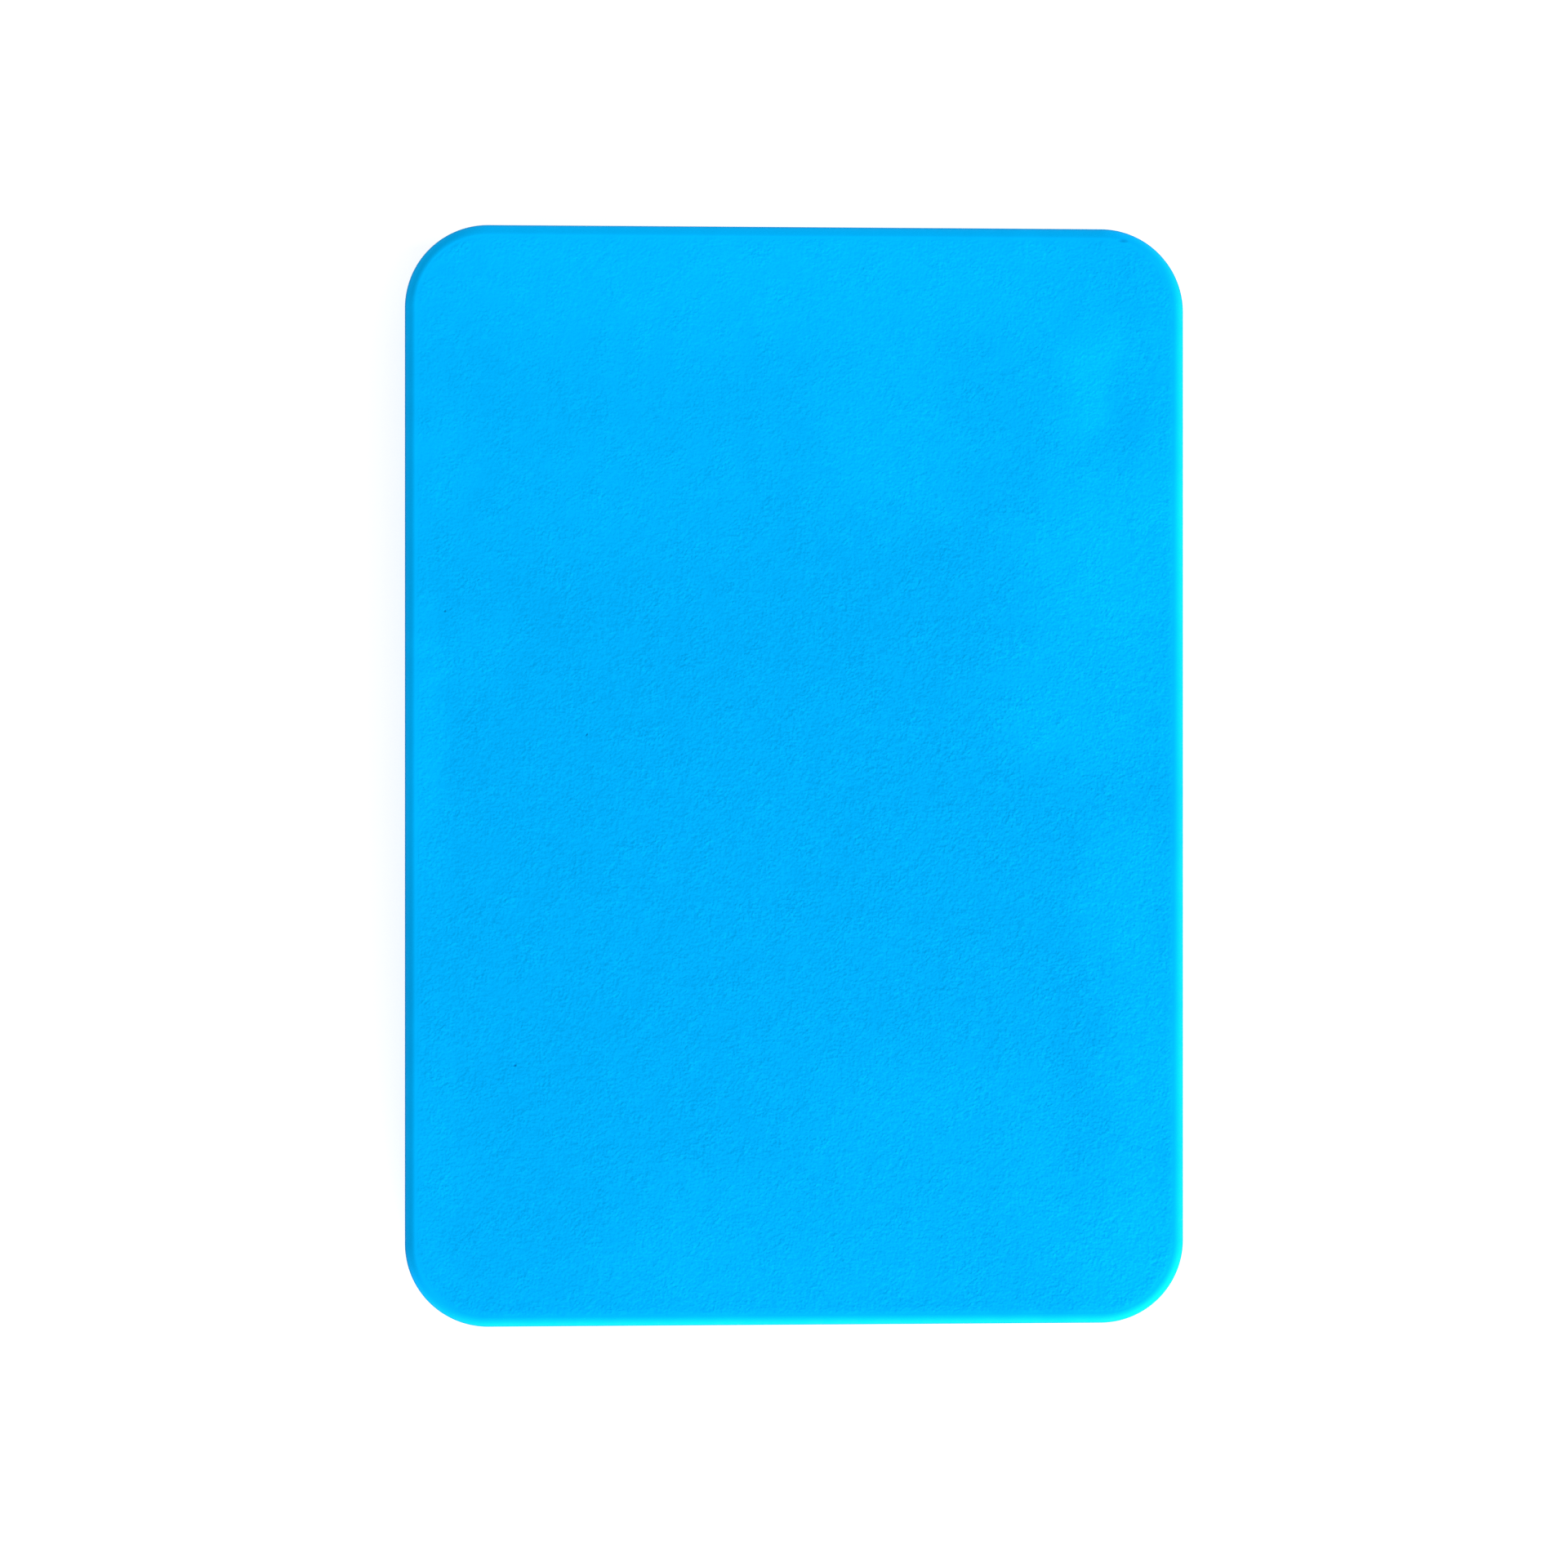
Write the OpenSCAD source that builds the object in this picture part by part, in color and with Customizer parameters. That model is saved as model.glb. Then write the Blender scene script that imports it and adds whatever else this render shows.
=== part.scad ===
// Swimming kickboard: a rectangular foam board that lies flat, laminated from five sheets.
// The origin is the centre of the bottom face. The long side runs along Y and +Z is up.

/* [Outline] */
// Length of the board, along Y
board_l = 410; // [350:5:480]
// Width of the board, along X
board_w = 291; // [240:1:330]
// Radius of the four corners, seen from above
corner_r = 31; // [10:1:60]

/* [Thickness] */
// Thickness of the whole board
board_t = 30; // [24:1:40]
// Thickness of each embossed skin
skin_t = 4.5; // [4.5:0.5:6]
// Radius that rounds the rim of each skin
edge_r = 4; // [1:0.5:4]
// Thickness of each adhesive film
bond_t = 0.2; // [0.1:0.05:0.4]

/* [Hidden] */
$fn = 96;

skin_color = [0.01, 0.70, 0.99];
core_color = [0.02, 0.62, 0.90];
bond_color = [0.01, 0.38, 0.62];

core_plies = 3;
bond_films = core_plies + 1;
ply_t = (board_t - 2 * skin_t - bond_films * bond_t) / core_plies;
// Height from one core ply to the next
ply_pitch = ply_t + bond_t;

// Distances from the board's centre to the axes of its corners
corner_x = board_w / 2 - corner_r;
corner_y = board_l / 2 - corner_r;

// Section of a flat sheet, from a corner's axis out to the rim
module sheet_section(thickness) {
    square([corner_r, thickness]);
}

// Section of a skin: the same sheet with its upper rim rounded
module skin_section() {
    flat_w = corner_r - edge_r;
    land_h = skin_t - edge_r;
    square([flat_w, skin_t]);
    translate([flat_w, 0])
        square([edge_r, land_h]);
    translate([flat_w, land_h])
        intersection() {
            circle(edge_r);
            square(edge_r);
        }
}

// One side of the board: the section carried straight along it, then turned through the corner.
// The side starts level with the axis of one corner, faces +X and runs towards +Y.
module straight_side(length) {
    translate([0, length, 0])
        rotate([90, 0, 0])
            linear_extrude(length)
                children();
    translate([0, length, 0])
        rotate_extrude(angle = 90)
            children();
}

// A whole sheet: its section carried round the four sides, and a plate between them
module sheet(thickness) {
    for (half_turn = [0, 180])
        rotate(half_turn) {
            translate([corner_x, -corner_y, 0])
                straight_side(2 * corner_y)
                    children();
            translate([corner_x, corner_y, 0])
                rotate(90)
                    straight_side(2 * corner_x)
                        children();
        }
    translate([-corner_x, -corner_y, 0])
        cube([2 * corner_x, 2 * corner_y, thickness]);
}

// A skin that lies on z = 0 with its rounded rim upwards
module skin() {
    color(skin_color)
        sheet(skin_t)
            skin_section();
}

// An adhesive film. Level 0 lies on the bottom skin.
module bond(level) {
    color(bond_color)
        translate([0, 0, skin_t + level * ply_pitch])
            sheet(bond_t)
                sheet_section(bond_t);
}

// A core ply, which lies on the adhesive film of the same level
module ply(level) {
    color(core_color)
        translate([0, 0, skin_t + bond_t + level * ply_pitch])
            sheet(ply_t)
                sheet_section(ply_t);
}

module top_skin() {
    translate([0, 0, board_t - skin_t])
        skin();
}

module top_skin_bond() {
    bond(3);
}

module upper_core_ply() {
    ply(2);
}

module upper_core_bond() {
    bond(2);
}

module middle_core_ply() {
    ply(1);
}

module lower_core_bond() {
    bond(1);
}

module lower_core_ply() {
    ply(0);
}

module bottom_skin_bond() {
    bond(0);
}

module bottom_skin() {
    translate([0, 0, skin_t])
        mirror([0, 0, 1])
            skin();
}

top_skin();
top_skin_bond();
upper_core_ply();
upper_core_bond();
middle_core_ply();
lower_core_bond();
lower_core_ply();
bottom_skin_bond();
bottom_skin();
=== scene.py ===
# A laminated foam kickboard: the looks of the board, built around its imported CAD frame.
# Lengths are in metres, and those written with MM are millimetres turned into metres.
# The board lies flat on z = 0. Its length runs along Y and its width along X.
import math

import bpy
import numpy as np
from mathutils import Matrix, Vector


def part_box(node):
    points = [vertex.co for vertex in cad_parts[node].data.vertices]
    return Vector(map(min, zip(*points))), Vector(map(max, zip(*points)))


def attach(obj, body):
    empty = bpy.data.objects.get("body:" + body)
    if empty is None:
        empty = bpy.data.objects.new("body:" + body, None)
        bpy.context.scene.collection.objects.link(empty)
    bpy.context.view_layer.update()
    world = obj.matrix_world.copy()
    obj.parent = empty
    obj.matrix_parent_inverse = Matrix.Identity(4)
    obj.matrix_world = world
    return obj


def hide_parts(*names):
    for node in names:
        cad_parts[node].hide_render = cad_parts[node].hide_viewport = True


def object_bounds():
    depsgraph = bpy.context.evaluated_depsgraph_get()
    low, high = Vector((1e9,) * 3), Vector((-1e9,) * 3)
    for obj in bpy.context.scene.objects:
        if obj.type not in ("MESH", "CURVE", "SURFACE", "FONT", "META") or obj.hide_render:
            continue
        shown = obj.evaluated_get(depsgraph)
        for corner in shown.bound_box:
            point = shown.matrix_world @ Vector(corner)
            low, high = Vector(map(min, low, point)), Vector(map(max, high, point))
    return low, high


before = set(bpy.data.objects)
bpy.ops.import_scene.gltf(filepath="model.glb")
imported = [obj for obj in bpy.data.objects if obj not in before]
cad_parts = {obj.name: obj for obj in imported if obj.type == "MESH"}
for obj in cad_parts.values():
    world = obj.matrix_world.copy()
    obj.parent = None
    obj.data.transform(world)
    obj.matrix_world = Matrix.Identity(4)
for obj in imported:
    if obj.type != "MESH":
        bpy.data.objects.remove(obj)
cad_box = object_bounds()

MM = 0.001
TOUCH = 0.01 * MM
QUARTER = math.pi / 2


# ---------------------------------------------------------------- the board, as the CAD has it

def node_points(name):
    """The corner points of a CAD node's mesh."""
    return np.array([v.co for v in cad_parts[name].data.vertices])


HALF_W, HALF_L, BOARD_T = cad_box[1]
skin_points = node_points("top_skin")
end_points = node_points("middle_core_ply")
end_points = end_points[end_points[:, 1] > HALF_L - TOUCH]
CORNER_R = HALF_W - np.abs(end_points[:, 0]).max()
RIM_R = HALF_W - np.abs(skin_points[skin_points[:, 2] > BOARD_T - TOUCH, 0]).max()
SKIN_T = BOARD_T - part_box("top_skin")[0].z
# Half width and half length of the rectangle whose corners are the axes of the rounded corners
CORNER_AXES = np.array([HALF_W - CORNER_R, HALF_L - CORNER_R])


def outward(points):
    """Unit vectors that point straight out of the rounded outline, from points in its outer band."""
    away = points - np.clip(points, -CORNER_AXES, CORNER_AXES)
    return away / np.linalg.norm(away, axis=1, keepdims=True)


def inset_from_edge(x, y):
    """How far inside the rounded outline each point lies."""
    beyond = np.stack([np.abs(x) - CORNER_AXES[0], np.abs(y) - CORNER_AXES[1]])
    return CORNER_R - np.hypot(*np.maximum(beyond, 0)) - np.minimum(beyond.max(axis=0), 0)


# ---------------------------------------------------------------- noise and mesh helpers

# A band of noise fades in between these multiples of its lowest frequency,
# and fades out between these multiples of its highest
FADE_IN = (0.7, 1.1)
FADE_OUT = (0.9, 1.2)


def smooth_step(low, high, value):
    """0 below low, 1 above high, and an even S between them."""
    t = np.clip((value - low) / (high - low), 0, 1)
    return t * t * (3 - 2 * t)


def banded_noise(shape, spacing, waves, seed, even_slopes=False):
    """Seeded noise of mean 0 and deviation 1, whose waves are between the two lengths in waves.
    Long waves are as high as short ones or, with even_slopes, higher, so that all are as steep."""
    spectrum = np.fft.rfft2(np.random.default_rng(seed).standard_normal(shape))
    along = np.fft.fftfreq(shape[0], spacing[0])[:, None]
    across = np.fft.rfftfreq(shape[1], spacing[1])[None, :]
    frequency = np.hypot(along, across)
    shortest, longest = waves
    band = smooth_step(FADE_IN[0] / longest, FADE_IN[1] / longest, frequency)
    band *= 1 - smooth_step(FADE_OUT[0] / shortest, FADE_OUT[1] / shortest, frequency)
    if even_slopes:
        band /= np.maximum(frequency, FADE_IN[0] / longest)
    field = np.fft.irfft2(spectrum * band, shape)
    return field / field.std()


def grid_loop(index):
    """The border of a grid of point numbers, anticlockwise."""
    return np.concatenate([index[:-1, 0], index[-1, :-1], index[:0:-1, -1], index[0, :0:-1]])


def band_faces(outer, inner):
    """Quads between two closed loops of point numbers, facing out where outer lies below or beyond inner."""
    return np.stack([outer, np.roll(outer, -1), np.roll(inner, -1), inner], axis=1)


def make_piece(name, points, quads, caps, attributes, material, node):
    """A smooth-shaded mesh that rides on the board's body and stands for its CAD node."""
    mesh = bpy.data.meshes.new(name)
    mesh.from_pydata(points.tolist(), [], quads.tolist() + [cap.tolist() for cap in caps])
    mesh.polygons.foreach_set("use_smooth", [True] * len(quads) + [False] * len(caps))
    for key, values in attributes.items():
        layer = mesh.attributes.new(key, "FLOAT", "POINT")
        layer.data.foreach_set("value", np.asarray(values, np.float32))
    mesh.materials.append(material)
    mesh.update()
    piece = bpy.data.objects.new(name, mesh)
    bpy.context.scene.collection.objects.link(piece)
    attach(piece, "root")
    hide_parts(node)


# ---------------------------------------------------------------- material nodes

# Numbers of a Mix node's two colour inputs and of its colour output
FIRST_COLOUR, SECOND_COLOUR, MIXED_COLOUR = 6, 7, 2
# Soft noise seldom leaves this range
NOISE_LOW, NOISE_HIGH = 0.3, 0.7


class Shader:
    """A node material under construction."""

    def __init__(self, name):
        self.material = bpy.data.materials.new(name)
        self.material.use_nodes = True
        self.tree = self.material.node_tree
        self.surface = self.tree.nodes["Principled BSDF"]
        self.place = self.add("ShaderNodeTexCoord").outputs["Object"]

    def connect(self, socket, value):
        """Gives an input a value, or links another node's output to it."""
        if isinstance(value, bpy.types.NodeSocket):
            self.tree.links.new(value, socket)
        else:
            socket.default_value = value

    def add(self, kind, inputs=None, **settings):
        """A node of that kind, with its settings, and with values or links on its inputs."""
        made = self.tree.nodes.new(kind)
        for key, value in settings.items():
            setattr(made, key, value)
        for key, value in (inputs or {}).items():
            self.connect(made.inputs[key], value)
        return made

    def multiply(self, a, b):
        """a times b."""
        return self.add("ShaderNodeMath", {0: a, 1: b}, operation="MULTIPLY").outputs[0]

    def raise_by(self, base, pattern, amount):
        """base plus a pattern times an amount."""
        inputs = {0: pattern, 1: amount, 2: base}
        return self.add("ShaderNodeMath", inputs, operation="MULTIPLY_ADD").outputs[0]

    def vary(self, base, pattern, amount):
        """base raised and lowered by a pattern that is centred on 0.5."""
        centred = self.add("ShaderNodeMath", {0: pattern, 1: 0.5}, operation="SUBTRACT").outputs[0]
        return self.raise_by(base, centred, amount)

    def attribute(self, name):
        """A value stored on the mesh's points."""
        return self.add("ShaderNodeAttribute", attribute_name=name).outputs["Fac"]

    def noise(self, size, detail=2.0, place=None, **more):
        """Soft noise with features of about that size, centred on 0.5."""
        values = {"Vector": place or self.place, "Scale": 1 / size, "Detail": detail, **more}
        return self.add("ShaderNodeTexNoise", values).outputs[0]

    def cells(self, size, feature="F1", **more):
        """A scatter of cells of that size, with a distance from their centres and a colour each."""
        values = {"Vector": self.place, "Scale": 1 / size, **more}
        return self.add("ShaderNodeTexVoronoi", values, feature=feature)

    def stretched(self, scale):
        """Places scaled along each axis, so that a pattern stretches the other way."""
        return self.add("ShaderNodeMapping", {"Vector": self.place, "Scale": scale}).outputs[0]

    def spot(self, centre, half_size, turn):
        """1 at the centre of an oval spot, and 0 from its edge outwards."""
        values = {"Vector": self.place, "Location": centre, "Rotation": (0, 0, turn), "Scale": half_size}
        local = self.add("ShaderNodeMapping", values, vector_type="TEXTURE").outputs[0]
        reach = self.add("ShaderNodeVectorMath", {0: local}, operation="LENGTH").outputs["Value"]
        return self.remap(reach, 0.0, 1.0, 1.0, 0.0)

    def blend(self, share, low, high):
        """A colour between low and high."""
        mix = self.add("ShaderNodeMix", data_type="RGBA", clamp_factor=True)
        self.connect(mix.inputs["Factor"], share)
        self.connect(mix.inputs[FIRST_COLOUR], low)
        self.connect(mix.inputs[SECOND_COLOUR], high)
        return mix.outputs[MIXED_COLOUR]

    def remap(self, value, low, high, out_low, out_high):
        """value carried smoothly from one range to another."""
        inputs = {"Value": value, "From Min": low, "From Max": high, "To Min": out_low, "To Max": out_high}
        return self.add("ShaderNodeMapRange", inputs, interpolation_type="SMOOTHSTEP").outputs[0]

    def spread(self, noise, low, high):
        """Soft noise spread smoothly over the range from low to high."""
        return self.remap(noise, NOISE_LOW, NOISE_HIGH, low, high)

    def bump(self, height, depth):
        """Normals of a relief that many metres deep."""
        return self.add("ShaderNodeBump", {"Height": height, "Distance": depth}).outputs[0]

    def finish(self, **inputs):
        """Sets the surface, whose inputs are named with _ for a space, and returns the material."""
        for key, value in inputs.items():
            self.connect(self.surface.inputs[key.replace("_", " ")], value)
        return self.material


# ---------------------------------------------------------------- the three materials

SHEEN_TINT = (0.02, 0.55, 1.0, 1)
FOAM_SPECULAR = 0.03
# Detail of noise that is to look plain, and of noise that is to look rough
PLAIN, ROUGH = 0.0, 3.0

# Skin: its blue where it is deepest and palest, the darker blue down its sides, which is painted shade, and
# the painted shade at the bottom of a flaw
SKIN_DEEP = (0.0003, 0.330, 0.77, 1)
SKIN_PALE = (0.0005, 0.455, 0.98, 1)
SKIN_SIDE_SHADE = (0.0004, 0.195, 0.47, 1)
SKIN_PIT_SHADE = (0.0004, 0.200, 0.60, 1)
SKIN_ROUGHNESS = (0.62, 0.78)
SKIN_GLOSS_SIZE = 4 * MM
# Fine grain: the size and swirl of its crinkles, the size and softness of the creases among them,
# how much the creases count in its height, and its depth
CRINKLE_SIZE = 0.95 * MM
CRINKLE_SWIRL = 0.35
CREASE_SIZE = 1.9 * MM
CREASE_SOFTNESS = 0.6
CREASE_SHARE = 0.55
GRAIN_BUMP = 0.095 * MM
# How much the grain speckles the colour
SPECKLE = 0.59
# Depth of a flaw, as a multiple of GRAIN_BUMP
PIT_DEPTH = 2.6
# Small flaws in the top face: centre, half sizes in mm, turn in degrees, and how deep and how dark with
# painted shade
FLAWS = (
    (-104.7, -107.4, 0.9, 0.8, 0, 0.95),
    (-130.6, 61.2, 0.7, 0.7, 0, 0.7),
    (-78.1, 15.4, 0.9, 0.6, 60, 0.8),
    (122.2, 200.2, 2.6, 0.9, -5, 0.5),
)

# Core: its blue where it is deepest and palest, kept darker than the skin's blue as painted shade on the
# board's cut sides, then the sizes of its clouding, of its sliced cells, of the blade's drag lines and of
# its fuzz, and how much each counts in the colour or in the height
CORE_SHADED_DEEP = (0.0004, 0.135, 0.345, 1)
CORE_SHADED_PALE = (0.0008, 0.230, 0.550, 1)
CORE_ROUGHNESS = (0.74, 0.9)
CLOUDING_SIZE, CLOUDING_COLOUR = 9 * MM, 0.9
CELL_SIZE, CELL_COLOUR = 1.1 * MM, 0.5
DRAG_SIZE, DRAG_COLOUR, DRAG_RISE = 2.2 * MM, 0.8, 1.6
FUZZ_SIZE, FUZZ_RISE = 0.4 * MM, 0.5
CORE_BUMP = 0.10 * MM
# The drag lines stand upright, because their pattern is stretched along Z
DRAG_STRETCH = (1, 1, 0.08)

# Film: its blue where it is deepest and palest, and its lumps
FILM_DEEP = (0.0005, 0.085, 0.26, 1)
FILM_PALE = (0.0008, 0.150, 0.40, 1)
FILM_ROUGHNESS = (0.35, 0.5)
FILM_GLOSS_SIZE = 6 * MM
FILM_SPECULAR = 0.3
LUMP_SIZE = 2.5 * MM
FILM_BUMP = 0.12 * MM


def skin_material(name, flaws):
    """Embossed foam skin: blue with clouds of painted light, a fine crinkled grain on its face, a smooth
    rim, and painted shade down its sides and in its flaws.
    """
    s = Shader(name)
    grain = s.attribute("grain")
    speckles = s.noise(CRINKLE_SIZE, PLAIN)
    # The tone holds the clouds of painted light, the painted light next to the rim and the face's random
    # tone
    paleness = s.vary(s.attribute("tone"), speckles, s.multiply(grain, SPECKLE))
    colour = s.blend(paleness, SKIN_DEEP, SKIN_PALE)
    # Painted shade: the rim turns a darker blue where it leans down the sides
    colour = s.blend(s.attribute("side"), colour, SKIN_SIDE_SHADE)
    crinkles = s.noise(CRINKLE_SIZE, PLAIN, Distortion=CRINKLE_SWIRL)
    creases = s.cells(CREASE_SIZE, "SMOOTH_F1", Smoothness=CREASE_SOFTNESS).outputs["Distance"]
    height = s.multiply(s.raise_by(crinkles, creases, CREASE_SHARE), grain)
    for x, y, half_x, half_y, turn, strength in flaws:
        spot = s.spot((x * MM, y * MM, 0), (half_x * MM, half_y * MM, 1), math.radians(turn))
        spot = s.multiply(spot, strength)
        height = s.raise_by(height, spot, -PIT_DEPTH)
        # Painted shade darkens the bottom of each flaw
        colour = s.blend(spot, colour, SKIN_PIT_SHADE)
    roughness = s.spread(s.noise(SKIN_GLOSS_SIZE), *SKIN_ROUGHNESS)
    return s.finish(Base_Color=colour, Roughness=roughness, Normal=s.bump(height, GRAIN_BUMP),
                    Specular_IOR_Level=FOAM_SPECULAR, Specular_Tint=SHEEN_TINT)


def core_material(name):
    """Cut foam: small closed cells sliced open, and faint upright drag lines from the blade."""
    s = Shader(name)
    drag = s.noise(DRAG_SIZE, ROUGH, s.stretched(DRAG_STRETCH))
    cells = s.cells(CELL_SIZE)
    cell_tone = s.add("ShaderNodeSeparateColor", {0: cells.outputs["Color"]}).outputs[0]
    tone = s.vary(0.5, s.noise(CLOUDING_SIZE, ROUGH), CLOUDING_COLOUR)
    tone = s.vary(tone, cell_tone, CELL_COLOUR)
    tone = s.vary(tone, drag, DRAG_COLOUR)
    height = s.raise_by(cells.outputs["Distance"], drag, DRAG_RISE)
    height = s.raise_by(height, s.noise(FUZZ_SIZE), FUZZ_RISE)
    roughness = s.remap(cell_tone, 0.0, 1.0, *CORE_ROUGHNESS)
    # The core's darker blue is painted shade on the board's sides
    return s.finish(Base_Color=s.blend(tone, CORE_SHADED_DEEP, CORE_SHADED_PALE), Roughness=roughness,
                    Normal=s.bump(height, CORE_BUMP), Specular_IOR_Level=FOAM_SPECULAR,
                    Specular_Tint=SHEEN_TINT)


def film_material(name):
    """Adhesive film: a darker, slightly glossy blue line with a lumpy squeezed edge."""
    s = Shader(name)
    lumps = s.noise(LUMP_SIZE, ROUGH)
    colour = s.blend(s.spread(lumps, 0.0, 1.0), FILM_DEEP, FILM_PALE)
    roughness = s.spread(s.noise(FILM_GLOSS_SIZE), *FILM_ROUGHNESS)
    return s.finish(Base_Color=colour, Roughness=roughness, Normal=s.bump(lumps, FILM_BUMP),
                    Specular_IOR_Level=FILM_SPECULAR, Specular_Tint=SHEEN_TINT)


# ---------------------------------------------------------------- the skins' faces

# Size of the cells of the face's grid
FACE_CELL = 1.2 * MM
# The grid ends this far inside the outline, and beyond it lie the rings of the rim
FACE_INSET = RIM_R + 0.2 * MM
# The embossing sets in at FACE_INSET, and is full from this inset on
EMBOSSED_INSET = RIM_R + 2.0 * MM

# Slow warp of the face
WARP_HEIGHT, WARP_WAVES = 0.035 * MM, (45 * MM, 130 * MM)
# Next to the rim the face sinks, and turns paler with painted light, by this much, this sharply and over
# this distance
EDGE_REACH = 3.6 * MM
EDGE_DROOP, DROOP_POWER = 0.019 * MM, 3
EDGE_PAINTED_LIGHT, EDGE_LIGHT_POWER = 0.22, 2

# Embossed grain, and the mottling of the tone that goes with it
GRAIN_HEIGHT, GRAIN_WAVES = 0.0105 * MM, (2.6 * MM, 6.5 * MM)
MOTTLE, MOTTLE_WAVES = 0.057, (2.6 * MM, 12 * MM)
# The grain is this much stronger at the right edge than in the middle, this much weaker at the far end,
# and varies this much from patch to patch. The change towards the right and the far end stands in for the
# raking light; besides deepening the relief, it scales the colour's speckle and mottle, which there is
# painted light.
GRAIN_RIGHTWARD = 0.17
GRAIN_FADE = 0.30
GRAIN_PATCHES, PATCH_WAVES = 0.15, (12 * MM, 50 * MM)
# Share of the fine grain that is left on the smooth rim
RIM_GRAIN = 0.08

FAINT, CLEAR, STRONG = 0.18, 0.34, 0.48
# Paler clouds of painted light on the top face: centre, half sizes in mm, turn in degrees, and how pale
PAINTED_LIGHT_CLOUDS = (
    (-25, 195, 175, 42, 0, STRONG),
    (37, 125, 34, 34, 0, CLEAR),
    (111, 147, 12, 26, -20, STRONG),
    (98, 140, 26, 38, 0, FAINT),
    (124, 84, 44, 32, 0, STRONG),
    (112, 30, 42, 34, 0, CLEAR),
    (124, -46, 20, 32, 0, CLEAR),
    (132, -116, 18, 48, 0, CLEAR),
    (128, -178, 30, 28, 0, STRONG),
    (45, -145, 50, 48, 0, FAINT),
    (90, -148, 12, 44, 0, FAINT),
    (-34, -172, 40, 26, 0, FAINT),
    (0, -200, 150, 24, 0, FAINT),
    (-138, 12, 10, 58, 0, CLEAR),
    (-136, 120, 14, 45, 0, FAINT),
    (-136, -145, 12, 55, 0, FAINT),
    (138, 140, 12, 45, 0, CLEAR),
    (-117, 46, 13, 18, 0, FAINT),
    (-70, 115, 80, 40, 0, FAINT),
)
CLOUD_BASE = 0.26
# A cloud fades out between these multiples of its half sizes
CLOUD_EDGE = (0.3, 1.5)
# The clouds' outlines wander, and the tone varies slowly over the board and in puffs
WANDER, WANDER_WAVES = 2 * MM, (22 * MM, 70 * MM)
DRIFT_WAVES = (60 * MM, 240 * MM)
PUFFS, PUFF_WAVES = 0.025, (10 * MM, 40 * MM)

TOP_SEED = 11
BOTTOM_SEED = 47
BOTTOM_DRIFT = 0.10
# Each random field of a skin draws from the skin's seed plus its own number
WARP_DRAW, PATCH_DRAW, GRAIN_DRAW, WANDER_X_DRAW, WANDER_Y_DRAW = 0, 3, 4, 5, 6
PUFF_DRAW, DRIFT_DRAW, MOTTLE_DRAW = 7, 8, 9


def face_grid():
    """A grid over the face, its square corners pressed into quarter discs: the X and Y of its points."""
    half_x, half_y = HALF_W - FACE_INSET, HALF_L - FACE_INSET
    radius = CORNER_R - FACE_INSET
    columns = np.linspace(-half_x, half_x, round(2 * half_x / FACE_CELL) + 1)
    rows = np.linspace(-half_y, half_y, round(2 * half_y / FACE_CELL) + 1)
    x, y = np.meshgrid(columns, rows, indexing="ij")
    a = np.clip((np.abs(x) - half_x + radius) / radius, 0, 1)
    b = np.clip((np.abs(y) - half_y + radius) / radius, 0, 1)
    pressed_x = x - np.sign(x) * radius * a * (1 - np.sqrt(1 - b * b / 2))
    pressed_y = y - np.sign(y) * radius * b * (1 - np.sqrt(1 - a * a / 2))
    return pressed_x, pressed_y


def face_noise(x, waves, seed, even_slopes=False):
    """Banded noise over the face's grid."""
    return banded_noise(x.shape, (FACE_CELL, FACE_CELL), waves, seed, even_slopes)


def cloudy_tone(x, y, seed, clouds, drift):
    """How pale the face is at each grid point, from 0 to 1: soft clouds of painted light over a slow random
    drift.
    """
    wander_x = WANDER * face_noise(x, WANDER_WAVES, seed + WANDER_X_DRAW)
    wander_y = WANDER * face_noise(x, WANDER_WAVES, seed + WANDER_Y_DRAW)
    tone = np.full(x.shape, CLOUD_BASE)
    for cloud_x, cloud_y, half_x, half_y, turn, paleness in clouds:
        dx = x + wander_x - cloud_x * MM
        dy = y + wander_y - cloud_y * MM
        c, s = math.cos(math.radians(turn)), math.sin(math.radians(turn))
        reach = np.hypot((dx * c + dy * s) / (half_x * MM), (dy * c - dx * s) / (half_y * MM))
        tone += paleness * (1 - smooth_step(*CLOUD_EDGE, reach))
    tone += drift * face_noise(x, DRIFT_WAVES, seed + DRIFT_DRAW)
    return tone + PUFFS * face_noise(x, PUFF_WAVES, seed + PUFF_DRAW)


def grain_strength(x, y, seed):
    """How strong the grain is at each grid point, about 1 in the middle of the face."""
    patches = GRAIN_PATCHES * face_noise(x, PATCH_WAVES, seed + PATCH_DRAW)
    return 1 + GRAIN_RIGHTWARD * x / HALF_W - GRAIN_FADE * smooth_step(0, HALF_L, y) + patches


def face_fields(x, y, seed, clouds, drift):
    """The face's height, slow warp, tone and strength of grain at each grid point."""
    inset = inset_from_edge(x, y)
    near_rim = np.clip(1 - (inset - RIM_R) / EDGE_REACH, 0, 1)
    strength = grain_strength(x, y, seed) * smooth_step(FACE_INSET, EMBOSSED_INSET, inset)
    grain = face_noise(x, GRAIN_WAVES, seed + GRAIN_DRAW, even_slopes=True)
    mottle = face_noise(x, MOTTLE_WAVES, seed + MOTTLE_DRAW)
    warp = WARP_HEIGHT * face_noise(x, WARP_WAVES, seed + WARP_DRAW)
    warp -= EDGE_DROOP * near_rim ** DROOP_POWER
    height = SKIN_T + warp + GRAIN_HEIGHT * strength * grain
    tone = cloudy_tone(x, y, seed, clouds, drift)
    # Painted light makes the face paler next to the rim; the mottle goes with the grain
    tone += EDGE_PAINTED_LIGHT * near_rim ** EDGE_LIGHT_POWER + MOTTLE * strength * mottle
    return height, warp, tone, strength


# ---------------------------------------------------------------- the skins

RIM_STEPS = 8
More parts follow.
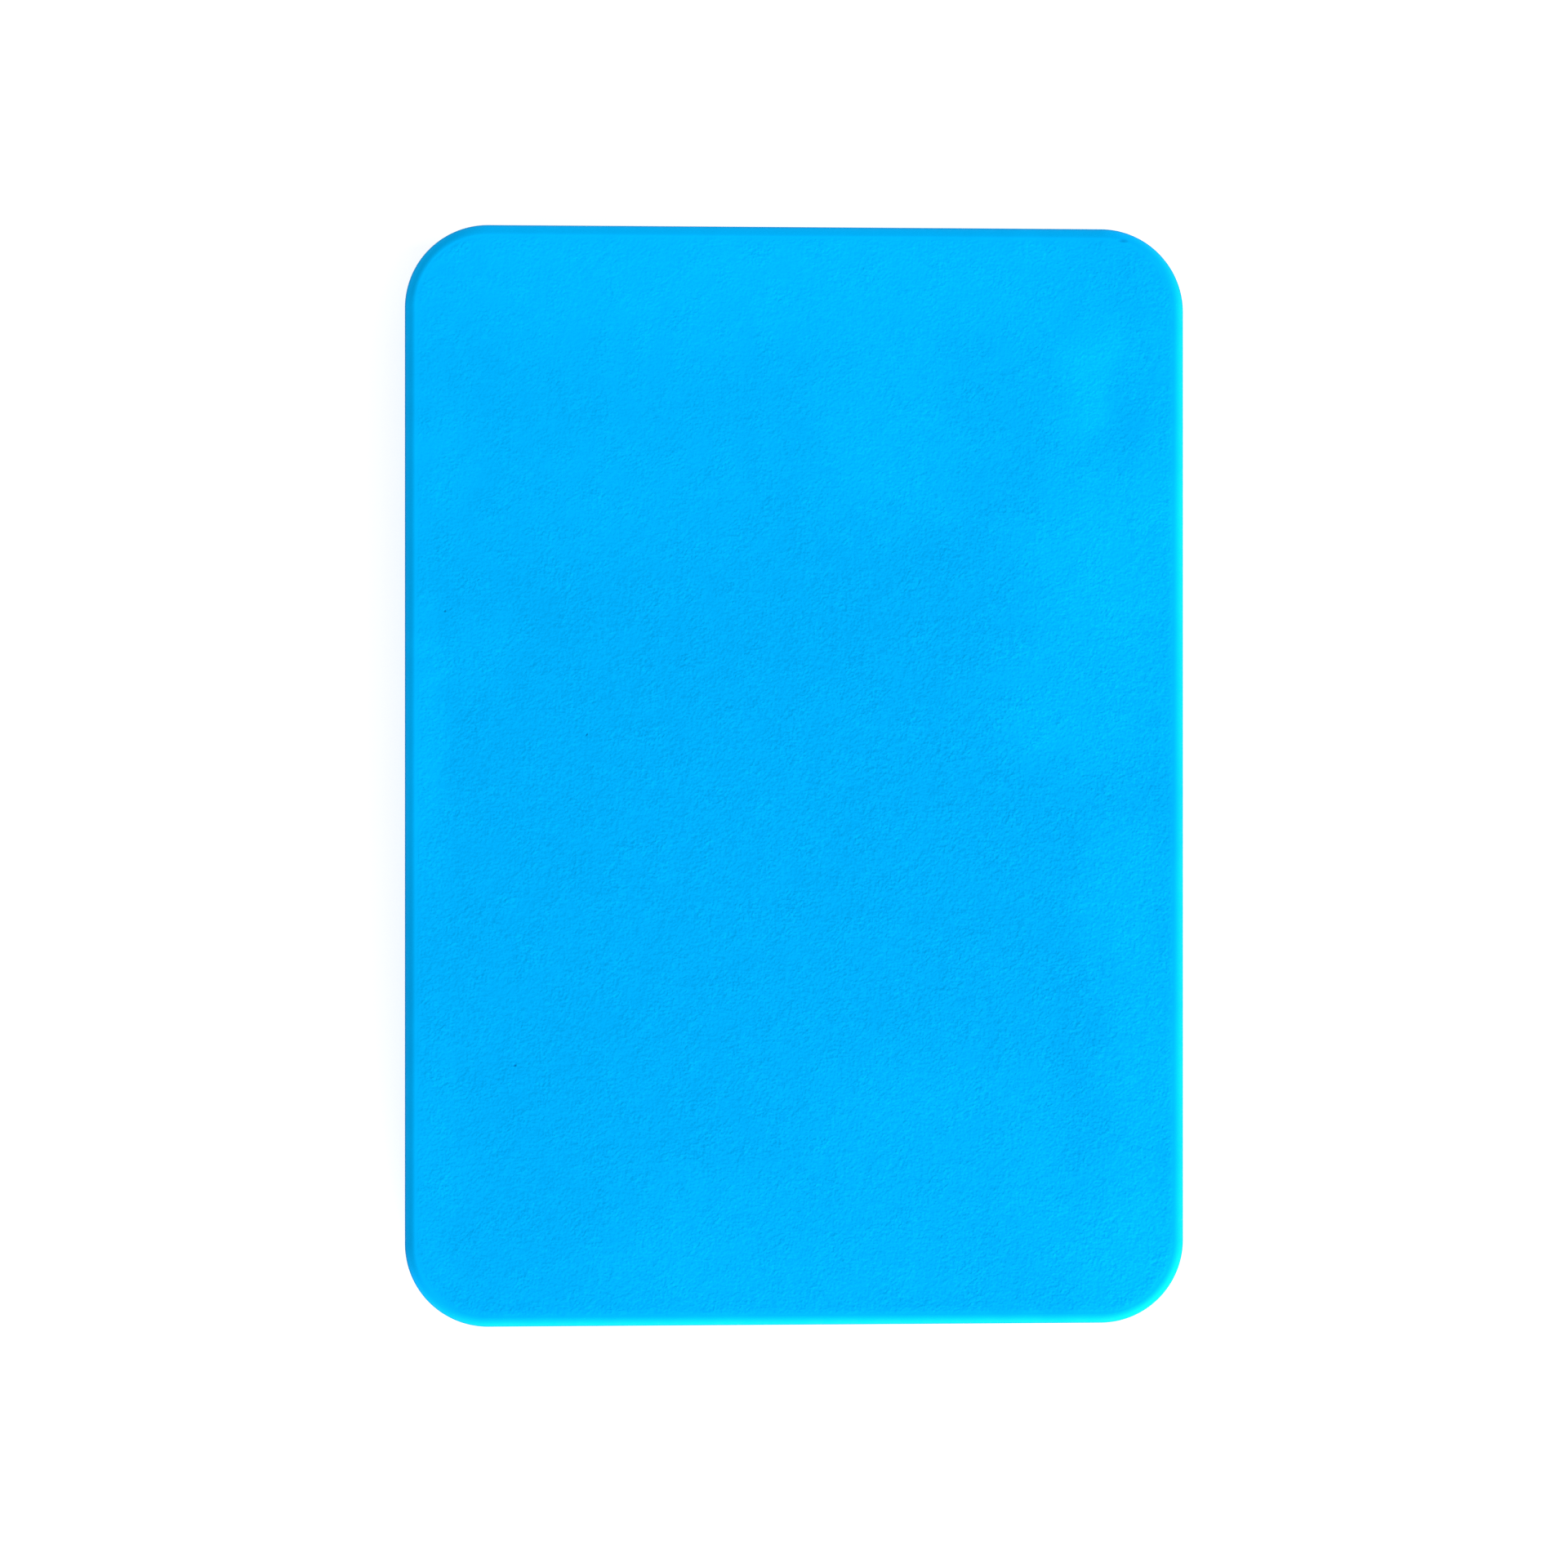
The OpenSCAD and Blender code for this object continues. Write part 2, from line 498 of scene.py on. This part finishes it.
# The leans, from level, between which the rim turns to the darker blue of the sides, which is painted shade
SIDE_SHADE_LEANS = (math.radians(46), math.radians(84))
# Where two sheets meet, each edge is rounded by this much, which leaves a fine groove
SEAM_R = 0.4 * MM
SEAM_STEPS = 3


def rim_rings():
    """Rings over the rim, down the side and round the seam: (inset, height, share of the warp, lean)."""
    rings = []
    for step in range(RIM_STEPS + 1):
        lean = QUARTER * step / RIM_STEPS
        ring_inset = RIM_R * (1 - math.sin(lean))
        droop = EDGE_DROOP * DROOP_POWER * (RIM_R - ring_inset) / EDGE_REACH
        ring_z = SKIN_T - RIM_R * (1 - math.cos(lean)) - droop * math.cos(lean)
        rings.append((ring_inset, ring_z, math.cos(lean), lean))
    for step in range(SEAM_STEPS + 1):
        lean = QUARTER * step / SEAM_STEPS
        rings.append((SEAM_R * (1 - math.cos(lean)), SEAM_R * (1 - math.sin(lean)), 0.0, QUARTER))
    return rings


def skin_mesh(seed, clouds, drift):
    """A skin lying on z = 0 with its face up: points, quads, bottom cap and point values."""
    x, y = face_grid()
    height, warp, tone, strength = face_fields(x, y, seed, clouds, drift)
    index = np.arange(x.size).reshape(x.shape)
    squares = np.stack([index[:-1, :-1], index[1:, :-1], index[1:, 1:], index[:-1, 1:]], axis=-1)
    points = [np.stack([x, y, height], axis=-1).reshape(-1, 3)]
    quads = [squares.reshape(-1, 4)]
    tones = [tone.ravel()]
    sides = [np.zeros(x.size)]
    loop = grid_loop(index)
    border = points[0][loop, :2]
    straight_out = outward(border)
    previous, count = loop, x.size
    for ring_inset, ring_z, share, lean in rim_rings():
        flat = border + straight_out * (FACE_INSET - ring_inset)
        points.append(np.column_stack([flat, ring_z + warp.ravel()[loop] * share]))
        tones.append(tone.ravel()[loop])
        # How far each ring has turned to the painted shade of the sides
        sides.append(np.full(len(loop), smooth_step(*SIDE_SHADE_LEANS, lean)))
        current = np.arange(count, count + len(loop))
        quads.append(band_faces(current, previous))
        previous, count = current, count + len(loop)
    face_grain = strength.ravel() * (1 - RIM_GRAIN) + RIM_GRAIN
    attributes = {
        "tone": np.concatenate(tones),
        "side": np.concatenate(sides),
        "grain": np.concatenate([face_grain, np.full(count - x.size, RIM_GRAIN)]),
    }
    return np.concatenate(points), np.concatenate(quads), [previous[::-1]], attributes


def make_skin(name, seed, clouds=(), flaws=(), drift=0.0, upside_down=False):
    """The top or bottom skin, where the CAD has it."""
    points, quads, caps, attributes = skin_mesh(seed, clouds, drift)
    if upside_down:
        points[:, 2] *= -1
        quads, caps = quads[:, ::-1], [cap[::-1] for cap in caps]
        points[:, 2] -= points[:, 2].min()
    points[:, 2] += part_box(name)[0].z
    make_piece("foam_" + name, points, quads, caps, attributes, skin_material(name + "_foam", flaws),
               name)


# ---------------------------------------------------------------- core plies and films

WALL_CELL = 0.8 * MM
WALL_ROW = 0.6 * MM
# How far the cut wall of a ply and the edge of a film stay inside the CAD outline
PLY_INSET = 0.12 * MM
FILM_INSET = 0.30 * MM

# A ply's wall: slow ripples round the board, the blade's fine upright drag, sliced cells,
# and a slight belly halfway up
RIPPLE, RIPPLE_WAVES = 0.05 * MM, (14 * MM, 80 * MM)
BLADE_DRAG, BLADE_DRAG_WAVES = 0.02 * MM, (2 * MM, 7 * MM)
SLICED_CELLS, SLICED_CELL_WAVES = 0.03 * MM, (1.6 * MM, 4 * MM)
BELLY = 0.10 * MM
# A film's edge: how much it is squeezed out here and drawn in there, and its bevel's share of its thickness
SQUEEZE, SQUEEZE_WAVES = 0.05 * MM, (3 * MM, 30 * MM)
FILM_BEVEL = 0.3

PLY_NAMES = ("upper_core_ply", "middle_core_ply", "lower_core_ply")
FILM_NAMES = ("top_skin_bond", "upper_core_bond", "lower_core_bond", "bottom_skin_bond")
# A ply makes three random draws, so the plies' seeds are further apart than that
PLY_SEED, PLY_SEED_STEP = 100, 10
FILM_SEED = 200


def wall_loop():
    """Points evenly spaced round the outline, anticlockwise, their outward directions and their spacing."""
    straight_x, straight_y = 2 * CORNER_AXES
    arc = QUARTER * CORNER_R
    length = 2 * (straight_x + straight_y) + 4 * arc
    count = round(length / WALL_CELL)
    along = np.arange(count) * length / count
    points = np.zeros((count, 2))
    # Each side is a straight run and then a quarter turn
    start = np.array([HALF_W, -straight_y / 2])
    done = 0.0
    for quarter, run in enumerate((straight_y, straight_x, straight_y, straight_x)):
        heading = QUARTER * (quarter + 1)
        ahead = np.array([math.cos(heading), math.sin(heading)])
        left = np.array([-ahead[1], ahead[0]])
        on_run = (along >= done) & (along < done + run)
        points[on_run] = start + np.outer(along[on_run] - done, ahead)
        start, done = start + run * ahead, done + run
        on_arc = (along >= done) & (along < done + arc)
        turn = (along[on_arc] - done) / CORNER_R
        bend = np.outer(np.sin(turn), ahead) + np.outer(1 - np.cos(turn), left)
        points[on_arc] = start + CORNER_R * bend
        start, done = start + CORNER_R * (ahead + left), done + arc
    return points, outward(points), length / count


wall_points, wall_out, wall_spacing = wall_loop()


def sheet_mesh(low, rings, proud):
    """A sheet from z = low, its wall stacked up from rings of (inset, height) and pushed out by proud."""
    count = len(wall_points)
    points, quads = [], []
    for row, (inset, height) in enumerate(rings):
        flat = wall_points + wall_out * (proud[row] - inset)[:, None]
        points.append(np.column_stack([flat, np.full(count, low + height)]))
        if row:
            first = np.arange(count) + (row - 1) * count
            quads.append(band_faces(first, first + count))
    bottom = np.arange(count)[::-1]
    top = np.arange(count) + (len(rings) - 1) * count
    return np.concatenate(points), np.concatenate(quads), [bottom, top]


def lipped_rings(thickness, lip, rows):
    """Rings of (inset, height) up a wall whose two edges are rounded by lip."""
    leans = [QUARTER * step / SEAM_STEPS for step in range(SEAM_STEPS + 1)]
    below = [(lip * (1 - math.sin(lean)), lip * (1 - math.cos(lean))) for lean in leans]
    above = [(inset, thickness - height) for inset, height in reversed(below)]
    between = [(0.0, lip + (thickness - 2 * lip) * row / rows) for row in range(1, rows)]
    return below + between + above


def make_ply(name, seed):
    """A core ply with a blade-cut wall."""
    low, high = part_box(name)
    thickness = high.z - low.z
    rings = lipped_rings(thickness, SEAM_R, round((thickness - 2 * SEAM_R) / WALL_ROW))
    around = (1, len(wall_points))
    whole_wall = (len(rings), len(wall_points))
    spacing = (thickness / len(rings), wall_spacing)
    ripple = RIPPLE * banded_noise(around, spacing, RIPPLE_WAVES, seed)
    drag = BLADE_DRAG * banded_noise(around, spacing, BLADE_DRAG_WAVES, seed + 1)
    cells = SLICED_CELLS * banded_noise(whole_wall, spacing, SLICED_CELL_WAVES, seed + 2)
    share_up = np.array([height for _, height in rings]) / thickness
    belly = BELLY * np.sin(math.pi * share_up)[:, None]
    points, quads, caps = sheet_mesh(low.z, rings, belly + ripple + drag + cells - PLY_INSET)
    make_piece("foam_" + name, points, quads, caps, {}, core_material(name + "_foam"), name)


def make_film(name, seed):
    """An adhesive film between two sheets."""
    low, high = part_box(name)
    thickness = high.z - low.z
    bevel = FILM_BEVEL * thickness
    rings = [(bevel, 0.0), (0.0, bevel), (0.0, thickness - bevel), (bevel, thickness)]
    squeeze = SQUEEZE * banded_noise((1, len(wall_points)), (thickness, wall_spacing), SQUEEZE_WAVES, seed)
    proud = np.repeat(squeeze - FILM_INSET, len(rings), axis=0)
    points, quads, caps = sheet_mesh(low.z, rings, proud)
    make_piece("film_" + name, points, quads, caps, {}, film_material(name + "_glue"), name)


make_skin("top_skin", TOP_SEED, clouds=PAINTED_LIGHT_CLOUDS, flaws=FLAWS)
make_skin("bottom_skin", BOTTOM_SEED, drift=BOTTOM_DRIFT, upside_down=True)
for order, ply_name in enumerate(PLY_NAMES):
    make_ply(ply_name, PLY_SEED + PLY_SEED_STEP * order)
for order, film_name in enumerate(FILM_NAMES):
    make_film(film_name, FILM_SEED + order)


# ---------------------------------------------------------------- floor, light and camera

WHITE = (1, 1, 1, 1)
FLOOR_SIZE = 30.0
FLOOR_WHITE = (0.60, 0.60, 0.60, 1)
FLOOR_ROUGHNESS = 0.9
FLOOR_GLOW = 0.66
# Brightness of the white surroundings as they light the board, and as the camera sees them
AMBIENT = 0.68
BACKDROP = 1.02

# Softboxes: name, azimuth anticlockwise from +X and elevation in degrees, distance, width and height,
# and how bright a white surface facing the light becomes by it
SOFTBOXES = (
    ("softbox_right", -4, 17.5, 6.0, (3.4, 1.9), 1.12),
    ("softbox_near", -78, 8.5, 6.0, (3.4, 1.5), 1.55),
)

# What the camera aims at, and the width that it sees there
AIM = Vector((-4.4 * MM, -3.0 * MM, BOARD_T - RIM_R))
FRAME_W = 585.7 * MM
CAMERA_LEAN = math.radians(2.6)
# Focal length and sensor width, in the camera's own millimetres
LENS = 85
SENSOR = 36


def make_floor():
    """A plain white floor that glows a little, as a light table does, so that shadows stay pale."""
    half = FLOOR_SIZE / 2
    corners = [(-half, -half, 0), (half, -half, 0), (half, half, 0), (-half, half, 0)]
    mesh = bpy.data.meshes.new("floor")
    mesh.from_pydata(corners, [], [(0, 1, 2, 3)])
    s = Shader("floor_white")
    mesh.materials.append(s.finish(Base_Color=FLOOR_WHITE, Roughness=FLOOR_ROUGHNESS, Specular_IOR_Level=0.0,
                                   Emission_Color=WHITE, Emission_Strength=FLOOR_GLOW))
    floor = bpy.data.objects.new("floor", mesh)
    bpy.context.scene.collection.objects.link(floor)


def make_world():
    """Even white surroundings: dim as light, bright as the backdrop that the camera sees."""
    world = bpy.data.worlds.new("studio")
    world.use_nodes = True
    nodes, links = world.node_tree.nodes, world.node_tree.links
    sky = nodes["Background"]
    sky.inputs["Color"].default_value = WHITE
    seen = nodes.new("ShaderNodeLightPath").outputs["Is Camera Ray"]
    strength = nodes.new("ShaderNodeMapRange")
    strength.inputs["To Min"].default_value = AMBIENT
    strength.inputs["To Max"].default_value = BACKDROP
    links.new(seen, strength.inputs["Value"])
    links.new(strength.outputs[0], sky.inputs["Strength"])
    bpy.context.scene.world = world


def make_softbox(name, azimuth, elevation, distance, size, brightness):
    """A soft rectangular light aimed at the board, which the camera doesn't see."""
    az, el = math.radians(azimuth), math.radians(elevation)
    direction = Vector((math.cos(el) * math.cos(az), math.cos(el) * math.sin(az), math.sin(el)))
    light = bpy.data.lights.new(name, "AREA")
    light.shape = "RECTANGLE"
    light.size, light.size_y = size
    # A white surface that faces the lamp is power / (pi * distance) ** 2 bright
    light.energy = brightness * (math.pi * distance) ** 2
    box = bpy.data.objects.new(name, light)
    box.location = direction * distance
    box.rotation_mode = "QUATERNION"
    box.rotation_quaternion = direction.to_track_quat("Z", "Y")
    box.visible_camera = False
    bpy.context.scene.collection.objects.link(box)


def make_camera():
    """A camera over the board, looking straight down but for a slight lean towards the board's left side."""
    data = bpy.data.cameras.new("camera")
    data.lens, data.sensor_width = LENS, SENSOR
    back = Vector((-math.sin(CAMERA_LEAN), 0, math.cos(CAMERA_LEAN)))
    camera = bpy.data.objects.new("camera", data)
    camera.location = AIM + back * (FRAME_W * LENS / SENSOR)
    camera.rotation_euler = (0, -CAMERA_LEAN, 0)
    bpy.context.scene.collection.objects.link(camera)
    bpy.context.scene.camera = camera


make_floor()
make_world()
for softbox in SOFTBOXES:
    make_softbox(*softbox)
make_camera()
bpy.context.scene.view_settings.view_transform = "Standard"
